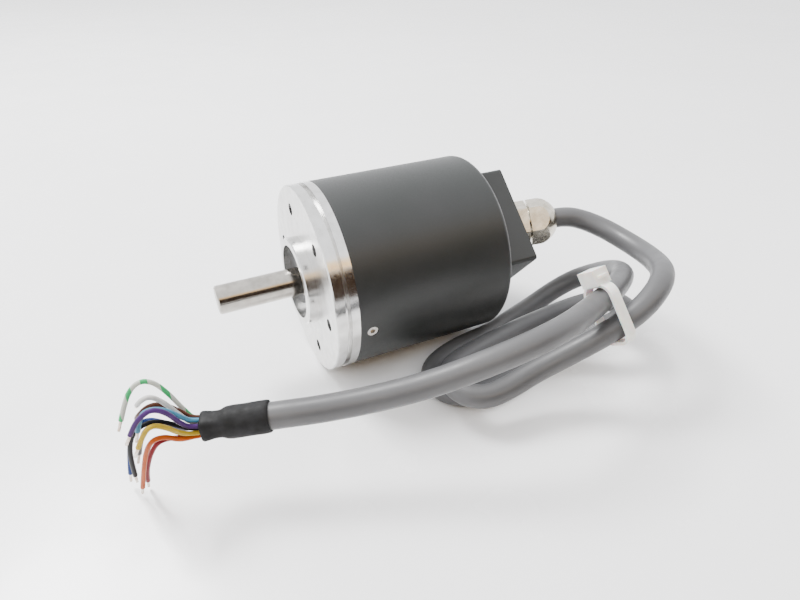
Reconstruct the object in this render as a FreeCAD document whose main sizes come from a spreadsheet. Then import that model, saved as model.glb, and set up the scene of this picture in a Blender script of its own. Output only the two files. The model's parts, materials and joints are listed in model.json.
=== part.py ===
"""Shaft rotary encoder, 63.5 mm flange, with its cable.

Frame: the origin lies on the shaft's axis, in the plane of the flange's mounting face. +X runs
along the axis to the rear, +Z is up, and the shaft points to -X. Lengths are millimetres.
"""
import FreeCAD, Part

import math
import os

import Sketcher
from FreeCAD import Placement, Rotation, Vector

os.makedirs("parts", exist_ok=True)
doc = FreeCAD.newDocument("rotary_encoder")

# ---------------------------------------------------------------- driving dimensions

DIMENSIONS = {
    # flange, measured along the axis from the front of its boss
    "boss_front": -3.7, "boss_radius": 15.0, "boss_edge_radius": 14.6, "boss_edge_along": 0.4,
    "seal_bore_radius": 12.5, "face_along": 3.7, "flange_radius": 31.75, "flange_edge_radius": 31.4,
    "flange_edge_along": 4.05, "front_disc_end": 6.9, "rim_groove_radius": 30.05, "rear_rim_start": 8.5,
    "rear_rim_end": 11.2, "spigot_radius": 29.65, "seal_groove_start": 12.1, "seal_groove_end": 13.7,
    "seal_groove_radius": 28.3, "spigot_end": 18.2, "hub_radius": 17.0, "hub_end": 36.2,
    "bearing_outer_radius": 13.0, "circlip_groove_end": 35.2, "circlip_groove_radius": 13.7,
    "circlip_groove_start": 33.9, "shoulder_end": 9.2, "shoulder_radius": 11.5, "shoulder_start": 8.2,
    "face_hole_radius": 2.0, "face_hole_circle": 23.8, "face_hole_depth": 8.0, "face_hole_angle": 8.0,
    # shaft, measured from its tip
    "shaft_tip": -29.4, "shaft_tip_radius": 4.36, "shaft_chamfer": 0.4, "shaft_radius": 4.76,
    "shaft_step": 27.9, "journal_radius": 5.0, "collar_start": 42.9, "collar_radius": 6.0,
    "collar_end": 50.9, "shaft_groove_start": 58.9, "shaft_groove_radius": 4.6,
    "shaft_groove_end": 59.9, "hub_seat_start": 62.4, "hub_seat_radius": 4.0, "shaft_length": 69.4,
    # shaft seal, measured from its front
    "seal_front": -1.0, "seal_mouth_radius": 5.3, "seal_length": 5.5, "seal_skin_radius": 11.5,
    "seal_web": 1.5, "lip_root_radius": 7.4, "lip_shoulder_along": 3.2, "lip_shoulder_radius": 6.7,
    "garter_start": 3.5, "garter_floor_radius": 6.1, "garter_end": 4.5, "lip_back_along": 5.0,
    "lip_back_radius": 5.7, "lip_along": 4.0, "lip_radius": 5.06,
    "seal_case_front": 0.5, "seal_case_inner": 7.8, "seal_case_length": 4.0, "seal_case_wall": 10.6,
    "seal_case_web": 0.7, "garter_centre": 3.0, "garter_circle": 6.55, "garter_wire": 0.4,
    # ball bearings and what keeps them in place
    "front_bearing_at": 5.5, "rear_bearing_at": 21.5, "bearing_width": 8.0, "bearing_middle": 4.0,
    "inner_ring_radius": 7.3, "outer_ring_radius": 10.6, "ball_circle": 9.0, "ball_radius": 2.38,
    "race_radius": 2.43, "ball_count": 7, "cage_inner": 8.3, "cage_outer": 9.7, "cage_front": 1.1,
    "cage_width": 5.8, "ball_pocket_radius": 2.48, "shield_inner": 7.6, "shield_thickness": 0.3,
    "shield_inset": 0.3, "spacer_at": 13.5, "spacer_inner": 11.0, "spacer_length": 8.0,
    "washer_at": 29.5, "washer_inner": 10.8, "washer_outer": 12.8, "washer_thickness": 0.7,
    "bore_circlip_at": 30.2, "bore_circlip_inner": 11.2, "bore_circlip_outer": 13.6,
    "bore_circlip_thickness": 1.2, "shaft_circlip_at": 29.5, "shaft_circlip_inner": 4.65,
    "shaft_circlip_outer": 6.4, "shaft_circlip_thickness": 0.9, "circlip_gap": 4.0,
    # code disc assembly
    "disc_hub_at": 34.0, "disc_hub_radius": 8.5, "disc_hub_length": 4.0, "disc_pilot_radius": 5.5,
    "disc_pilot_end": 4.9, "code_disc_at": 38.0, "code_disc_radius": 18.0, "code_disc_thickness": 0.9,
    "disc_ring_at": 38.9, "disc_ring_inner": 4.2, "disc_ring_thickness": 0.8, "disc_screw_hole": 1.05,
    "disc_screw_circle": 7.0, "disc_screw_radius": 1.0, "disc_screw_head": 1.45,
    "disc_screw_head_height": 1.2, "disc_screw_at": 36.7, "disc_screw_length": 3.0,
    "disc_screw_key": 0.7, "disc_screw_key_depth": 0.7, "set_screw_at": 36.0,
    "set_screw_along": 2.0, "set_screw_hole": 1.3,
    "set_screw_radius": 1.25, "set_screw_start": 4.1, "set_screw_length": 4.2, "set_screw_key": 0.75,
    "set_screw_key_depth": 1.6,
    # optical head and circuit board
    "holder_at": 32.5, "holder_depth": 4.3, "holder_width": 10.0, "holder_low": 13.4,
    "holder_height": 6.8, "light_height": 16.4, "led_hole": 2.5, "led_radius": 2.4, "led_at": 33.5,
    "led_length": 3.8, "detector_at": 40.2, "detector_depth": 2.8, "detector_height": 8.0,
    "detector_low": 12.4, "reticle_at": 39.5, "reticle_depth": 0.7, "reticle_width": 8.0,
    "reticle_low": 13.0, "reticle_height": 6.8, "board_at": 43.0, "board_radius": 26.0,
    "board_thickness": 1.6, "board_hole": 1.25, "standoff_circle": 23.0, "standoff_angle": 30.0,
    "standoff_at": 14.5, "standoff_radius": 2.5, "standoff_length": 28.5, "standoff_bore": 1.15,
    "board_screw_radius": 1.1, "board_screw_head": 2.2, "board_screw_head_height": 1.4,
    "board_screw_reach": 5.0, "board_screw_key": 1.0, "board_screw_key_depth": 0.8,
    "connector_at": 44.6, "connector_depth": 5.4, "connector_width": 16.0,
    "connector_low": -12.0, "connector_height": 7.0, "plug_at": 50.0, "plug_depth": 6.0,
    "plug_width": 14.0, "plug_low": -11.5, "plug_height": 6.0, "lead_radius": 2.3,
    # housing
    "housing_at": 7.5, "housing_inner": 29.75, "housing_length": 54.9, "rear_opening_radius": 14.0,
    "rear_wall_start": 52.9, "rear_edge_fillet": 1.8, "block_side": 36.0, "block_hollow": 32.0,
    "block_start": 54.4, "block_tube": 13.1, "block_wall_start": 67.4, "block_wall": 2.1,
    "block_turn": 39.5, "block_fillet": 1.2, "outlet_radius": 10.0, "outlet_back": -14.0,
    "outlet_length": 13.1, "outlet_bore": 6.0, "outlet_bore_depth": 16.0,
    "cover_screw_at": 11.5, "cover_screw_along": 4.0, "cover_screw_flange_along": 15.2,
    "cover_screw_angle": 67.5, "cover_hole": 1.85, "cover_tap": 1.25, "cover_tap_floor": 22.0,
    "cover_tap_depth": 9.0, "cover_hole_floor": 29.0, "cover_hole_depth": 4.0,
    "cover_screw_head": 1.75, "cover_screw_shank": 1.2, "cover_screw_foot": 22.5,
    "cover_screw_neck": 29.95, "cover_screw_top": 31.55, "cover_screw_socket": 0.95,
    "cover_screw_socket_depth": 1.0, "housing_ring_at": 9.2, "housing_ring_circle": 29.0,
    "housing_ring_wire": 0.68,
    # cable gland, measured along its own axis from its seat on the outlet
    "gland_x": 85.0, "gland_y": 0.0, "gland_z": 1.8, "gland_tilt": 26.0, "gland_turn": 156.0,
    "gland_washer_start": -0.9, "gland_washer_thickness": 0.9, "gland_washer_radius": 7.6,
    "gland_flats": 15.4, "gland_hex_length": 4.5, "gland_thread_start": -8.0,
    "gland_thread_radius": 5.95, "gland_thread_length": 8.0, "gland_bore": 4.2,
    "gland_neck_start": 4.5, "gland_neck_length": 6.5, "gland_neck_radius": 6.3,
    "gland_neck_bore": 5.3, "gland_insert_start": 5.0, "gland_insert_length": 6.5,
    "gland_insert_radius": 5.25, "gland_claw_start": 11.5, "gland_claw_length": 1.9,
    "gland_claw_radius": 5.8, "gland_nut_start": 5.2, "gland_nut_length": 9.8,
    "gland_nut_bore": 6.4, "gland_nut_bore_length": 6.3, "gland_nut_seat": 5.9,
    "gland_nut_seat_length": 8.3, "gland_mouth": 4.1, "gland_dome_centre": 7.2,
    "gland_dome_radius": 9.1, "cable_entry_start": -6.0, "cable_entry_length": 21.0,
    # cable, its end sleeve, its strap and its conductors
    "cable_radius": 3.75, "sleeve_radius": 4.45, "sleeve_bore": 3.95, "sleeve_length": 18.0,
    "sleeve_shoulder": 11.5, "sleeve_neck": 13.4, "sleeve_neck_radius": 3.55, "sleeve_flare": 3.95,
    "sleeve_step": 11.3, "sleeve_throat": 2.9, "wire_radius": 0.65, "wire_start": 11.6,
    "wire_mouth": 20.0,
    "wire_ring": 2.15, "wire_core": 0.78, "tip_radius": 0.4, "tip_length": 3.5,
    "strap_side": 5.5, "strap_end": 4.2, "strap_corner": 3.2, "strap_thickness": 1.0,
    "strap_width": 3.2, "strap_head_length": 5.4,
    "strap_head_width": 7.4, "strap_head_height": 5.0, "strap_tail_length": 1.6,
    "strap_tail_thickness": 0.9, "strap_head_sink": 0.4, "strap_tail_height": 1.6,
    "strap_tail_sink": 0.5,
}

sheet = doc.addObject("Spreadsheet::Sheet", "dimensions")
for row, (alias, size) in enumerate(DIMENSIONS.items(), start=1):
    sheet.set(f"A{row}", alias)
    sheet.set(f"B{row}", str(size))
    sheet.setAlias(f"B{row}", alias)
doc.recompute()


def size_of(alias):
    """The number in the sheet's cell; None stands for a coordinate on the axis."""
    return 0.0 if alias is None else float(getattr(sheet, alias))


def bind(feature, path, alias):
    feature.setExpression(path, f"dimensions.{alias}")


# ---------------------------------------------------------------- helpers: bodies and sketches

PARTS = {}


def keep(label, feature):
    """Register a finished sub-part under the name of its node."""
    feature.Label = label
    PARTS[label] = feature
    return feature


def new_body(label, start=None):
    body = doc.addObject("PartDesign::Body", label)
    if start is not None:
        bind(body, "Placement.Base.x", start)
    return keep(label, body)


def origin_feature(body, role):
    for feature in body.Origin.OriginFeatures:
        if feature.Role == role:
            return feature
    raise ValueError(f"{body.Label} has no {role}")


def sketch_on(body, name, role, offset=None):
    sketch = body.newObject("Sketcher::SketchObject", name)
    sketch.AttachmentSupport = (origin_feature(body, role), [""])
    sketch.MapMode = "FlatFace"
    if offset is not None:
        sketch.AttachmentOffset = offset
    return sketch


def fix_distance(sketch, kind, vertex, alias):
    """Hold one end of a line at a distance from the sketch's origin, or on an axis."""
    line, end = vertex
    if alias is None:
        axis = -2 if kind == "DistanceX" else -1
        sketch.addConstraint(Sketcher.Constraint("PointOnObject", line, end, axis))
        return
    number = sketch.addConstraint(Sketcher.Constraint(kind, -1, 1, line, end, size_of(alias)))
    bind(sketch, f"Constraints[{number}]", alias)


def draw_outline(sketch, outline):
    """Closed outline through (along, radius) vertices, each fixed by two cells of the sheet."""
    points = [Vector(size_of(along), size_of(radius), 0) for along, radius in outline]
    count = len(points)
    for index in range(count):
        sketch.addGeometry(Part.LineSegment(points[index], points[(index + 1) % count]), False)
    for index in range(count):
        sketch.addConstraint(Sketcher.Constraint("Coincident", index, 2, (index + 1) % count, 1))
    for index, (along, radius) in enumerate(outline):
        fix_distance(sketch, "DistanceX", (index, 1), along)
        fix_distance(sketch, "DistanceY", (index, 1), radius)


def draw_circle(sketch, radius, centre=None, side=None):
    """Circle whose centre stands off the origin along the sketch's two axes by the given cells."""
    middle = Vector(size_of(centre), size_of(side), 0)
    circle = sketch.addGeometry(Part.Circle(middle, Vector(0, 0, 1), size_of(radius)), False)
    number = sketch.addConstraint(Sketcher.Constraint("Radius", circle, size_of(radius)))
    bind(sketch, f"Constraints[{number}]", radius)
    fix_distance(sketch, "DistanceX", (circle, 3), centre)
    fix_distance(sketch, "DistanceY", (circle, 3), side)


def draw_square(sketch, side):
    """Square about the origin with one bound side."""
    half = size_of(side) / 2
    corners = [Vector(-half, -half, 0), Vector(half, -half, 0)]
    corners += [Vector(half, half, 0), Vector(-half, half, 0)]
    first = sketch.GeometryCount
    for index in range(4):
        sketch.addGeometry(Part.LineSegment(corners[index], corners[(index + 1) % 4]), False)
    for index in range(4):
        following = first + (index + 1) % 4
        sketch.addConstraint(Sketcher.Constraint("Coincident", first + index, 2, following, 1))
    for index, direction in enumerate(("Horizontal", "Vertical", "Horizontal", "Vertical")):
        sketch.addConstraint(Sketcher.Constraint(direction, first + index))
    sketch.addConstraint(Sketcher.Constraint("Symmetric", first, 1, first + 2, 1, -1, 1))
    across = sketch.addConstraint(Sketcher.Constraint("DistanceX", first, 1, first, 2, 2 * half))
    bind(sketch, f"Constraints[{across}]", side)
    tall = sketch.addConstraint(Sketcher.Constraint("DistanceY", first + 1, 1, first + 1, 2, 2 * half))
    bind(sketch, f"Constraints[{tall}]", side)


def turned(label, start, outline):
    """A piece turned on a lathe: its outline revolved about the X axis."""
    body = new_body(label, start)
    sketch = sketch_on(body, f"{label}_outline", "XY_Plane")
    draw_outline(sketch, outline)
    turn = body.newObject("PartDesign::Revolution", f"{label}_turn")
    turn.Profile = sketch
    turn.ReferenceAxis = (sketch, ["H_Axis"])
    turn.Angle = 360
    body.Tip = turn
    doc.recompute()
    return body


def ring(label, start, inner, outer, width):
    """A plain ring, washer or sleeve."""
    return turned(label, start, [(None, inner), (None, outer), (width, outer), (width, inner)])


def shrink_check(body, before, feature):
    """A cut that points away from the solid takes nothing off it."""
    doc.recompute()
    if body.Shape.Volume >= before - 1e-6:
        raise RuntimeError(f"{feature.Name} cuts nothing")


def pocket(body, sketch, depth, forwards):
    before = body.Shape.Volume
    cut = body.newObject("PartDesign::Pocket", f"{sketch.Name}_cut")
    cut.Profile = sketch
    bind(cut, "Length", depth)
    cut.Reversed = forwards
    body.Tip = cut
    shrink_check(body, before, cut)
    return cut


def repeat(body, feature, count):
    """Copies of a feature spread evenly round the X axis."""
    pattern = body.newObject("PartDesign::PolarPattern", f"{feature.Name}_round")
    pattern.Originals = [feature]
    pattern.Axis = (origin_feature(body, "X_Axis"), [""])
    pattern.Angle = 360
    pattern.Occurrences = count
    body.Tip = pattern
    doc.recompute()


def bolt_circle(body, name, hole, circle, depth, count, angle=None):
    """Holes parallel to the axis, drilled from the body's own front end."""
    turn = Rotation(Vector(0, 0, 1), size_of(angle))
    sketch = sketch_on(body, name, "YZ_Plane", Placement(Vector(), turn))
    if angle is not None:
        bind(sketch, "AttachmentOffset.Rotation.Angle", angle)
    draw_circle(sketch, hole, circle)
    repeat(body, pocket(body, sketch, depth, True), count)


def radial_holes(body, name, hole, along, floor, depth, count, angle=None):
    """Holes square to the axis, drilled outwards from a floor at a distance from the axis."""
    turn = Rotation(Vector(1, 0, 0), size_of(angle) - 90 if angle else 0)
    base = turn.multVec(Vector(0, 0, size_of(floor)))
    sketch = sketch_on(body, name, "XY_Plane", Placement(base, turn))
    draw_circle(sketch, hole, along)
    cut = pocket(body, sketch, depth, True)
    if count > 1:
        repeat(body, cut, count)


def race(body, name):
    """The ball groove of a bearing ring."""
    before = body.Shape.Volume
    sketch = sketch_on(body, name, "XY_Plane")
    draw_circle(sketch, "race_radius", "bearing_middle", "ball_circle")
    groove = body.newObject("PartDesign::Groove", f"{name}_groove")
    groove.Profile = sketch
    groove.ReferenceAxis = (sketch, ["H_Axis"])
    groove.Angle = 360
    body.Tip = groove
    shrink_check(body, before, groove)


def slit(body, name, width, depth):
    """The gap of a circlip, cut through its upper side."""
    side = size_of(width)
    sketch = sketch_on(body, name, "XY_Plane")
    reach = size_of(depth)
    corners = [Vector(-reach, -side / 2, 0), Vector(reach, -side / 2, 0)]
    corners += [Vector(reach, side / 2, 0), Vector(-reach, side / 2, 0)]
    for index in range(4):
        sketch.addGeometry(Part.LineSegment(corners[index], corners[(index + 1) % 4]), False)
    for index, direction in enumerate(("Horizontal", "Vertical", "Horizontal", "Vertical")):
        sketch.addConstraint(Sketcher.Constraint("Coincident", index, 2, (index + 1) % 4, 1))
        sketch.addConstraint(Sketcher.Constraint(direction, index))
    sketch.addConstraint(Sketcher.Constraint("Symmetric", 0, 1, 2, 1, -1, 1))
    across = sketch.addConstraint(Sketcher.Constraint("DistanceX", 0, 1, 0, 2, 2 * reach))
    sketch.setExpression(f"Constraints[{across}]", f"2 * dimensions.{depth}")
    tall = sketch.addConstraint(Sketcher.Constraint("DistanceY", 1, 1, 1, 2, side))
    bind(sketch, f"Constraints[{tall}]", width)
    pocket(body, sketch, "flange_radius", True)


# ---------------------------------------------------------------- helpers: primitives and shapes

def box(label, start, depth, width, low, height):
    """A block on the YZ middle line: bound along X, centred on Y, standing from a height."""
    block = doc.addObject("Part::Box", label)
    bind(block, "Length", depth)
    bind(block, "Width", width)
    bind(block, "Height", height)
    bind(block, "Placement.Base.x", start)
    block.setExpression("Placement.Base.y", f"-dimensions.{width} / 2")
    bind(block, "Placement.Base.z", low)
    return block


def cylinder(name, radius, length, place):
    piece = doc.addObject("Part::Cylinder", name)
    bind(piece, "Radius", radius)
    bind(piece, "Height", length)
    piece.Placement = place
    return piece


def combine(kind, label, base, tool):
    result = doc.addObject(kind, label)
    result.Base = base
    result.Tool = tool
    return result


def shaped(label, shape, place=None):
    """A piece whose form comes from shape functions; it gets its place after its shape."""
    piece = doc.addObject("Part::Feature", label)
    piece.Shape = shape
    piece.Placement = place or Placement()
    return keep(label, piece)


def round_copies(shape, count, first_angle=0.0):
    """Copies of a shape spread evenly round the X axis."""
    copies = []
    for index in range(count):
        copy = shape.copy()
        copy.rotate(Vector(0, 0, 0), Vector(1, 0, 0), first_angle + index * 360.0 / count)
        copies.append(copy)
    return Part.makeCompound(copies)


def headed_screw(base, direction, shank, shank_length, head, head_length, socket, socket_depth):
    """Cylinder-head screw with a hexagon socket, drawn from the foot of its shank."""
    screw = Part.makeCylinder(shank, shank_length, base, direction)
    neck = base + direction * shank_length
    screw = screw.fuse(Part.makeCylinder(head, head_length, neck, direction))
    floor = neck + direction * (head_length - socket_depth)
    frame = Rotation(Vector(0, 0, 1), direction)
    corners = []
    for index in range(7):
        turn = math.radians(60 * index)
        corners.append(floor + frame.multVec(Vector(socket * math.cos(turn), socket * math.sin(turn), 0)))
    key = Part.Face(Part.makePolygon(corners)).extrude(direction * (socket_depth + 0.5))
    return screw.cut(key).removeSplitter()


def route_path(points, radii=None):
    """Straight runs joined by tangent arcs; each arc is as large as its two runs allow."""
    edges = []
    reached = points[0]
    for before, corner, after in zip(points, points[1:], points[2:]):
        arriving = (corner - before).normalize()
        leaving = (after - corner).normalize()
        turn = arriving.getAngle(leaving)
        reach = 0.45 * min((corner - before).Length, (after - corner).Length)
        radius = reach / math.tan(turn / 2)
        if radii is not None:
            radii.append(radius)
        enter = corner - arriving * reach
        leave = corner + leaving * reach
        inward = (leaving - arriving).normalize()
        middle = corner + inward * (radius / math.cos(turn / 2) - radius)
        edges.append(Part.LineSegment(reached, enter).toShape())
        edges.append(Part.Arc(enter, middle, leave).toShape())
        reached = leave
    edges.append(Part.LineSegment(reached, points[-1]).toShape())
    return Part.Wire(edges)


def tube(points, radius, radii=None):
    """A round cord along a route."""
    path = route_path(points, radii)
    start = Part.Wire(Part.makeCircle(radius, points[0], points[1] - points[0]))
    shape = path.makePipeShell([start], True, False)
    return shape, path.Length


# ---------------------------------------------------------------- flange and shaft

flange = turned("flange", "boss_front", [
    (None, "seal_bore_radius"), (None, "boss_edge_radius"), ("boss_edge_along", "boss_radius"),
    ("face_along", "boss_radius"), ("face_along", "flange_edge_radius"),
    ("flange_edge_along", "flange_radius"), ("front_disc_end", "flange_radius"),
    ("front_disc_end", "rim_groove_radius"), ("rear_rim_start", "rim_groove_radius"),
    ("rear_rim_start", "flange_radius"), ("rear_rim_end", "flange_radius"),
    ("rear_rim_end", "spigot_radius"), ("seal_groove_start", "spigot_radius"),
    ("seal_groove_start", "seal_groove_radius"), ("seal_groove_end", "seal_groove_radius"),
    ("seal_groove_end", "spigot_radius"), ("spigot_end", "spigot_radius"),
    ("spigot_end", "hub_radius"), ("hub_end", "hub_radius"), ("hub_end", "bearing_outer_radius"),
    ("circlip_groove_end", "bearing_outer_radius"), ("circlip_groove_end", "circlip_groove_radius"),
    ("circlip_groove_start", "circlip_groove_radius"), ("circlip_groove_start", "bearing_outer_radius"),
    ("shoulder_end", "bearing_outer_radius"), ("shoulder_end", "shoulder_radius"),
    ("shoulder_start", "shoulder_radius"), ("shoulder_start", "seal_bore_radius")])
bolt_circle(flange, "flange_face_holes", "face_hole_radius", "face_hole_circle", "face_hole_depth", 6,
            "face_hole_angle")
radial_holes(flange, "flange_cover_taps", "cover_tap", "cover_screw_flange_along", "cover_tap_floor",
             "cover_tap_depth", 3, "cover_screw_angle")

turned("shaft", "shaft_tip", [
    (None, None), (None, "shaft_tip_radius"), ("shaft_chamfer", "shaft_radius"),
    ("shaft_step", "shaft_radius"), ("shaft_step", "journal_radius"),
    ("collar_start", "journal_radius"), ("collar_start", "collar_radius"),
    ("collar_end", "collar_radius"), ("collar_end", "journal_radius"),
    ("shaft_groove_start", "journal_radius"), ("shaft_groove_start", "shaft_groove_radius"),
    ("shaft_groove_end", "shaft_groove_radius"), ("shaft_groove_end", "journal_radius"),
    ("hub_seat_start", "journal_radius"), ("hub_seat_start", "hub_seat_radius"),
    ("shaft_length", "hub_seat_radius"), ("shaft_length", None)])

# ---------------------------------------------------------------- shaft seal

turned("shaft_seal", "seal_front", [
    (None, "seal_mouth_radius"), (None, "seal_bore_radius"), ("seal_length", "seal_bore_radius"),
    ("seal_length", "seal_skin_radius"), ("seal_web", "seal_skin_radius"),
    ("seal_web", "lip_root_radius"), ("lip_shoulder_along", "lip_shoulder_radius"),
    ("garter_start", "garter_floor_radius"), ("garter_end", "garter_floor_radius"),
    ("lip_back_along", "lip_shoulder_radius"), ("lip_back_along", "lip_back_radius"),
    ("lip_along", "lip_radius")])
turned("seal_case", "seal_case_front", [
    (None, "seal_case_inner"), (None, "seal_skin_radius"), ("seal_case_length", "seal_skin_radius"),
    ("seal_case_length", "seal_case_wall"), ("seal_case_web", "seal_case_wall"),
    ("seal_case_web", "seal_case_inner")])


def hoop(label, along, circle, wire):
    """A round-section ring about the X axis."""
    loop = doc.addObject("Part::Torus", label)
    bind(loop, "Radius1", circle)
    bind(loop, "Radius2", wire)
    loop.Placement = Placement(Vector(), Rotation(Vector(0, 0, 1), Vector(1, 0, 0)))
    bind(loop, "Placement.Base.x", along)
    return keep(label, loop)


hoop("seal_spring", "garter_centre", "garter_circle", "garter_wire")

# ---------------------------------------------------------------- ball bearings


def ball_cage(start):
    """Band between the rings with a round window for each ball."""
    count = int(size_of("ball_count"))
    along = Vector(1, 0, 0)
    front = Vector(start + size_of("cage_front"), 0, 0)
    band = Part.makeCylinder(size_of("cage_outer"), size_of("cage_width"), front, along)
    band = band.cut(Part.makeCylinder(size_of("cage_inner"), size_of("cage_width"), front, along))
    centre = Vector(start + size_of("bearing_middle"), size_of("ball_circle"), 0)
    windows = round_copies(Part.makeSphere(size_of("ball_pocket_radius"), centre), count)
    return band.cut(windows)


def bearing_shields(start):
    """Thin discs that close both sides of the bearing."""
    along = Vector(1, 0, 0)
    thickness = size_of("shield_thickness")
    far_side = size_of("bearing_width") - size_of("shield_inset") - thickness
    discs = []
    for inset in (size_of("shield_inset"), far_side):
        front = Vector(start + inset, 0, 0)
        disc = Part.makeCylinder(size_of("outer_ring_radius"), thickness, front, along)
        discs.append(disc.cut(Part.makeCylinder(size_of("shield_inner"), thickness, front, along)))
    return Part.makeCompound(discs)


def ball_bearing(side):
    at = f"{side}_bearing_at"
    inner = ring(f"{side}_inner_ring", at, "journal_radius", "inner_ring_radius", "bearing_width")
    race(inner, f"{side}_inner_race")
    outer = ring(f"{side}_outer_ring", at, "outer_ring_radius", "bearing_outer_radius", "bearing_width")
    race(outer, f"{side}_outer_race")
    start = size_of(at)
    centre = Vector(start + size_of("bearing_middle"), size_of("ball_circle"), 0)
    ball = Part.makeSphere(size_of("ball_radius"), centre)
    shaped(f"{side}_balls", round_copies(ball, int(size_of("ball_count"))))
    shaped(f"{side}_cage", ball_cage(start))
    shaped(f"{side}_shields", bearing_shields(start))


for bearing_side in ("front", "rear"):
    ball_bearing(bearing_side)
ring("bearing_spacer", "spacer_at", "spacer_inner", "bearing_outer_radius", "spacer_length")
ring("preload_washer", "washer_at", "washer_inner", "washer_outer", "washer_thickness")
bore_circlip = ring("bore_circlip", "bore_circlip_at", "bore_circlip_inner", "bore_circlip_outer",
                    "bore_circlip_thickness")
slit(bore_circlip, "bore_circlip_gap", "circlip_gap", "bore_circlip_outer")
shaft_circlip = ring("shaft_circlip", "shaft_circlip_at", "shaft_circlip_inner", "shaft_circlip_outer",
                     "shaft_circlip_thickness")
slit(shaft_circlip, "shaft_circlip_gap", "circlip_gap", "shaft_circlip_outer")

# ---------------------------------------------------------------- code disc assembly

DISC_SCREWS = 3
disc_hub = turned("disc_hub", "disc_hub_at", [
    (None, "hub_seat_radius"), (None, "disc_hub_radius"), ("disc_hub_length", "disc_hub_radius"),
    ("disc_hub_length", "disc_pilot_radius"), ("disc_pilot_end", "disc_pilot_radius"),
    ("disc_pilot_end", "hub_seat_radius")])
bolt_circle(disc_hub, "disc_hub_taps", "disc_screw_hole", "disc_screw_circle",
            "disc_hub_length", DISC_SCREWS)
radial_holes(disc_hub, "disc_hub_set_tap", "set_screw_hole", "set_screw_along", "shaft_chamfer",
             "disc_hub_radius", 1)
code_disc = ring("code_disc", "code_disc_at", "disc_pilot_radius", "code_disc_radius",
                 "code_disc_thickness")
bolt_circle(code_disc, "code_disc_holes", "disc_screw_hole", "disc_screw_circle", "code_disc_thickness",
            DISC_SCREWS)
disc_ring = ring("disc_ring", "disc_ring_at", "disc_ring_inner", "disc_hub_radius",
                 "disc_ring_thickness")
bolt_circle(disc_ring, "disc_ring_holes", "disc_screw_hole", "disc_screw_circle",
            "disc_ring_thickness", DISC_SCREWS)
disc_screw = headed_screw(
    Vector(size_of("disc_screw_at"), size_of("disc_screw_circle"), 0), Vector(1, 0, 0),
    size_of("disc_screw_radius"), size_of("disc_screw_length"), size_of("disc_screw_head"),
    size_of("disc_screw_head_height"), size_of("disc_screw_key"), size_of("disc_screw_key_depth"))
shaped("disc_screws", round_copies(disc_screw, DISC_SCREWS))
set_screw = headed_screw(
    Vector(size_of("set_screw_at"), 0, size_of("set_screw_start")), Vector(0, 0, 1),
    size_of("set_screw_radius"), size_of("set_screw_length") / 2, size_of("set_screw_radius"),
    size_of("set_screw_length") / 2, size_of("set_screw_key"), size_of("set_screw_key_depth"))
shaped("hub_set_screw", set_screw)

# ---------------------------------------------------------------- optical head and circuit board

ALONG_X = Rotation(Vector(0, 0, 1), Vector(1, 0, 0))
holder_block = box("emitter_holder_block", "holder_at", "holder_depth", "holder_width", "holder_low",
                   "holder_height")
holder_bore = cylinder("emitter_holder_bore", "led_hole", "holder_depth", Placement(Vector(), ALONG_X))
bind(holder_bore, "Placement.Base.x", "holder_at")
bind(holder_bore, "Placement.Base.z", "light_height")
keep("emitter_holder", combine("Part::Cut", "emitter_holder", holder_block, holder_bore))
led = keep("led", cylinder("led", "led_radius", "led_length", Placement(Vector(), ALONG_X)))
bind(led, "Placement.Base.x", "led_at")
bind(led, "Placement.Base.z", "light_height")
keep("detector_block", box("detector_block", "detector_at", "detector_depth", "holder_width",
                           "detector_low", "detector_height"))
keep("reticle", box("reticle", "reticle_at", "reticle_depth", "reticle_width", "reticle_low",
                    "reticle_height"))

STANDOFFS = 3
board = turned("circuit_board", "board_at", [
    (None, None), (None, "board_radius"), ("board_thickness", "board_radius"),
    ("board_thickness", None)])
bolt_circle(board, "board_holes", "board_hole", "standoff_circle", "board_thickness", STANDOFFS,
            "standoff_angle")


def board_standoffs():
    foot = Vector(size_of("standoff_at"), size_of("standoff_circle"), 0)
    length = size_of("standoff_length")
    post = Part.makeCylinder(size_of("standoff_radius"), length, foot, Vector(1, 0, 0))
    reach = size_of("board_screw_reach") + 1
    mouth = foot + Vector(size_of("standoff_length") - reach, 0, 0)
    post = post.cut(Part.makeCylinder(size_of("standoff_bore"), reach, mouth, Vector(1, 0, 0)))
    return round_copies(post, STANDOFFS, size_of("standoff_angle"))


def board_screws():
    length = size_of("board_screw_reach") + size_of("board_thickness")
    foot = Vector(size_of("board_at") - size_of("board_screw_reach"), size_of("standoff_circle"), 0)
    screw = headed_screw(foot, Vector(1, 0, 0), size_of("board_screw_radius"), length,
                         size_of("board_screw_head"), size_of("board_screw_head_height"),
                         size_of("board_screw_key"), size_of("board_screw_key_depth"))
    return round_copies(screw, STANDOFFS, size_of("standoff_angle"))


shaped("board_standoffs", board_standoffs())
shaped("board_screws", board_screws())
keep("board_connector", box("board_connector", "connector_at", "connector_depth", "connector_width",
                            "connector_low", "connector_height"))
keep("connector_plug", box("connector_plug", "plug_at", "plug_depth", "plug_width", "plug_low",
                           "plug_height"))

# ---------------------------------------------------------------- gland axis

GLAND_SEAT = Vector(size_of("gland_x"), size_of("gland_y"), size_of("gland_z"))
gland_lean = math.radians(size_of("gland_tilt"))
gland_heading = math.radians(size_of("gland_turn"))
GLAND_AXIS = Vector(math.cos(gland_lean), math.sin(gland_lean) * math.cos(gland_heading),
                    math.sin(gland_lean) * math.sin(gland_heading))
GLAND_TURN = Rotation(Vector(1, 0, 0), GLAND_AXIS)
GLAND_UPRIGHT = Rotation(Vector(0, 0, 1), GLAND_AXIS)


def on_gland(alias):
    """The point of the gland's axis that lies a cell's length from its seat."""
    return GLAND_SEAT + GLAND_AXIS * size_of(alias)


# ---------------------------------------------------------------- housing

COVER_SCREWS = 3


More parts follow.
